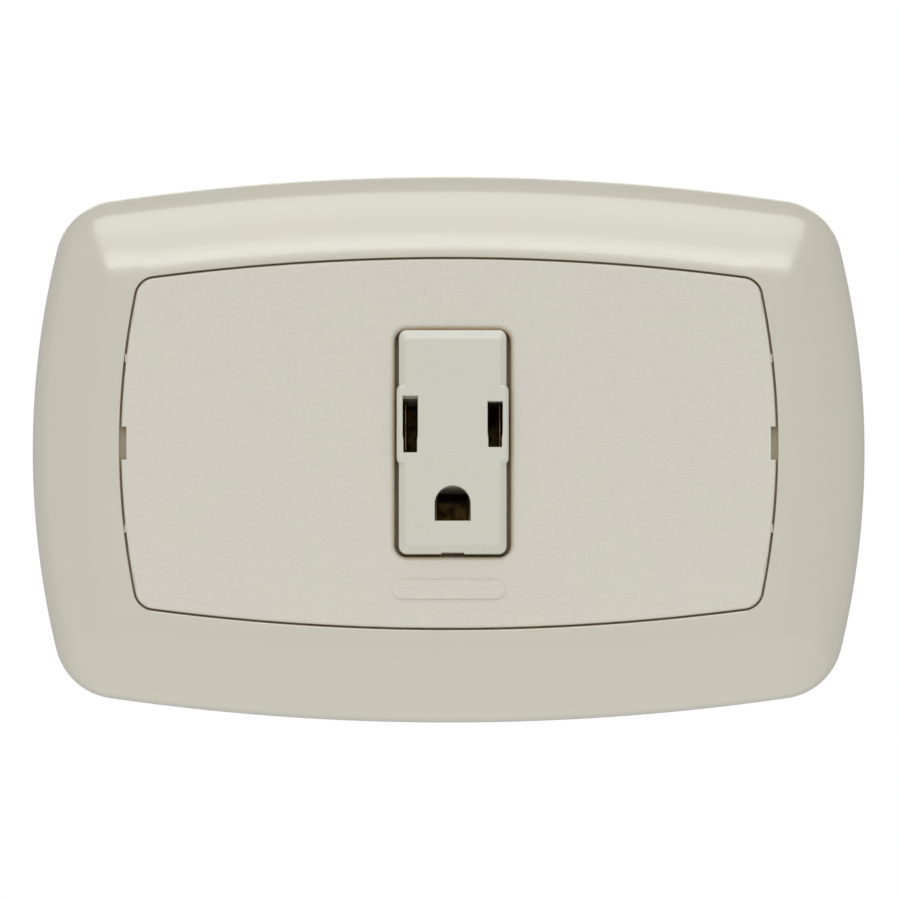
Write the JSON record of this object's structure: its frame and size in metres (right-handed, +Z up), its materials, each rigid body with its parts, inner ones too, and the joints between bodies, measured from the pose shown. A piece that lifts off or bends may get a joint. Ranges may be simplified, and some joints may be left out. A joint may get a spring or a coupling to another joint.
{
  "type": "wall outlet",
  "caption": "Bowed rectangular wall plate with a centred grounded socket module on a strap with open side bays; plate and insert clip off.",
  "frame": {"origin": "centre of the plate on the wall's surface, midway between the two fixing screws", "axes": "+X to the right along the plate's length, +Y into the wall, +Z up; the face looks along -Y"},
  "size_m": [0.125, 0.0338, 0.0826],
  "materials": {
    "frame_gloss": "glossy warm ivory",
    "insert_matte": "matte warm ivory, fine spark texture",
    "module_satin": "satin ivory with a slight green cast",
    "base_plastic": "dark moulded thermoset",
    "strap_steel": "galvanised",
    "fixing_steel": "zinc plated",
    "washer_steel": "zinc plated",
    "contact_brass": "rolled strip",
    "silver_screw": "nickel plated",
    "brass_screw": "brass plated",
    "green_screw": "green passivated",
    "clamp_steel": "zinc plated",
    "housing_steel": "zinc plated, self-tapping"
  },
  "bodies": {
    "support": {"support_frame": "strap_steel", "fixing_washer_left": "washer_steel", "fixing_washer_right": "washer_steel"},
    "cover": {"outer_frame": "frame_gloss"},
    "insert": {"insert_plate": "insert_matte"},
    "left_fixing": {"fixing_screw_left": "fixing_steel"},
    "right_fixing": {"fixing_screw_right": "fixing_steel"},
    "module": {"module_front": "module_satin", "module_base": "base_plastic", "neutral_contact": "contact_brass", "hot_contact": "contact_brass", "ground_contact": "contact_brass", "housing_screw_left": "housing_steel", "housing_screw_right": "housing_steel"},
    "neutral_clamp": {"neutral_wire_clamp": "clamp_steel"},
    "neutral_screw": {"neutral_terminal_screw": "silver_screw"},
    "hot_clamp": {"hot_wire_clamp": "clamp_steel"},
    "hot_screw": {"hot_terminal_screw": "brass_screw"},
    "ground_clamp": {"ground_wire_clamp": "clamp_steel"},
    "ground_screw": {"ground_terminal_screw": "green_screw"}
  },
  "joints": [
    {"name": "cover_lift_off", "type": "slide", "parent": "support", "child": "cover", "axis": [0, -1, 0], "range_m": [0, 0.03]},
    {"name": "insert_lift_off", "type": "slide", "parent": "cover", "child": "insert", "axis": [0, -1, 0], "range_m": [0, 0.02]},
    {"name": "left_fixing_turn", "type": "hinge", "parent": "support", "child": "left_fixing", "pos_m": [-0.04165, 0, 0], "axis": [0, 1, 0], "continuous": true},
    {"name": "right_fixing_turn", "type": "hinge", "parent": "support", "child": "right_fixing", "pos_m": [0.04165, 0, 0], "axis": [0, 1, 0], "continuous": true},
    {"name": "module_release", "type": "slide", "parent": "support", "child": "module", "axis": [0, 1, 0], "range_m": [0, 0.04]},
    {"name": "neutral_clamp_travel", "type": "slide", "parent": "module", "child": "neutral_clamp", "axis": [0, 1, 0], "range_m": [-0.0019, 0.0005]},
    {"name": "neutral_screw_turn", "type": "hinge", "parent": "neutral_clamp", "child": "neutral_screw", "pos_m": [-0.0046, 0.0154, 0.0138], "axis": [0, 1, 0], "range_deg": [-1146, 306]},
    {"name": "hot_clamp_travel", "type": "slide", "parent": "module", "child": "hot_clamp", "axis": [0, 1, 0], "range_m": [-0.0019, 0.0005]},
    {"name": "hot_screw_turn", "type": "hinge", "parent": "hot_clamp", "child": "hot_screw", "pos_m": [0.0058, 0.0154, 0.0138], "axis": [0, 1, 0], "range_deg": [-1146, 306]},
    {"name": "ground_clamp_travel", "type": "slide", "parent": "module", "child": "ground_clamp", "axis": [0, 1, 0], "range_m": [-0.0019, 0.0005]},
    {"name": "ground_screw_turn", "type": "hinge", "parent": "ground_clamp", "child": "ground_screw", "pos_m": [0.0006, 0.0154, -0.0144], "axis": [0, 1, 0], "range_deg": [-1146, 306]}
  ],
  "couplings": [
    {"joint": "neutral_screw_turn", "follows": "neutral_clamp_travel", "rad_per_m": 10472},
    {"joint": "hot_screw_turn", "follows": "hot_clamp_travel", "rad_per_m": 10472},
    {"joint": "ground_screw_turn", "follows": "ground_clamp_travel", "rad_per_m": 10472}
  ]
}
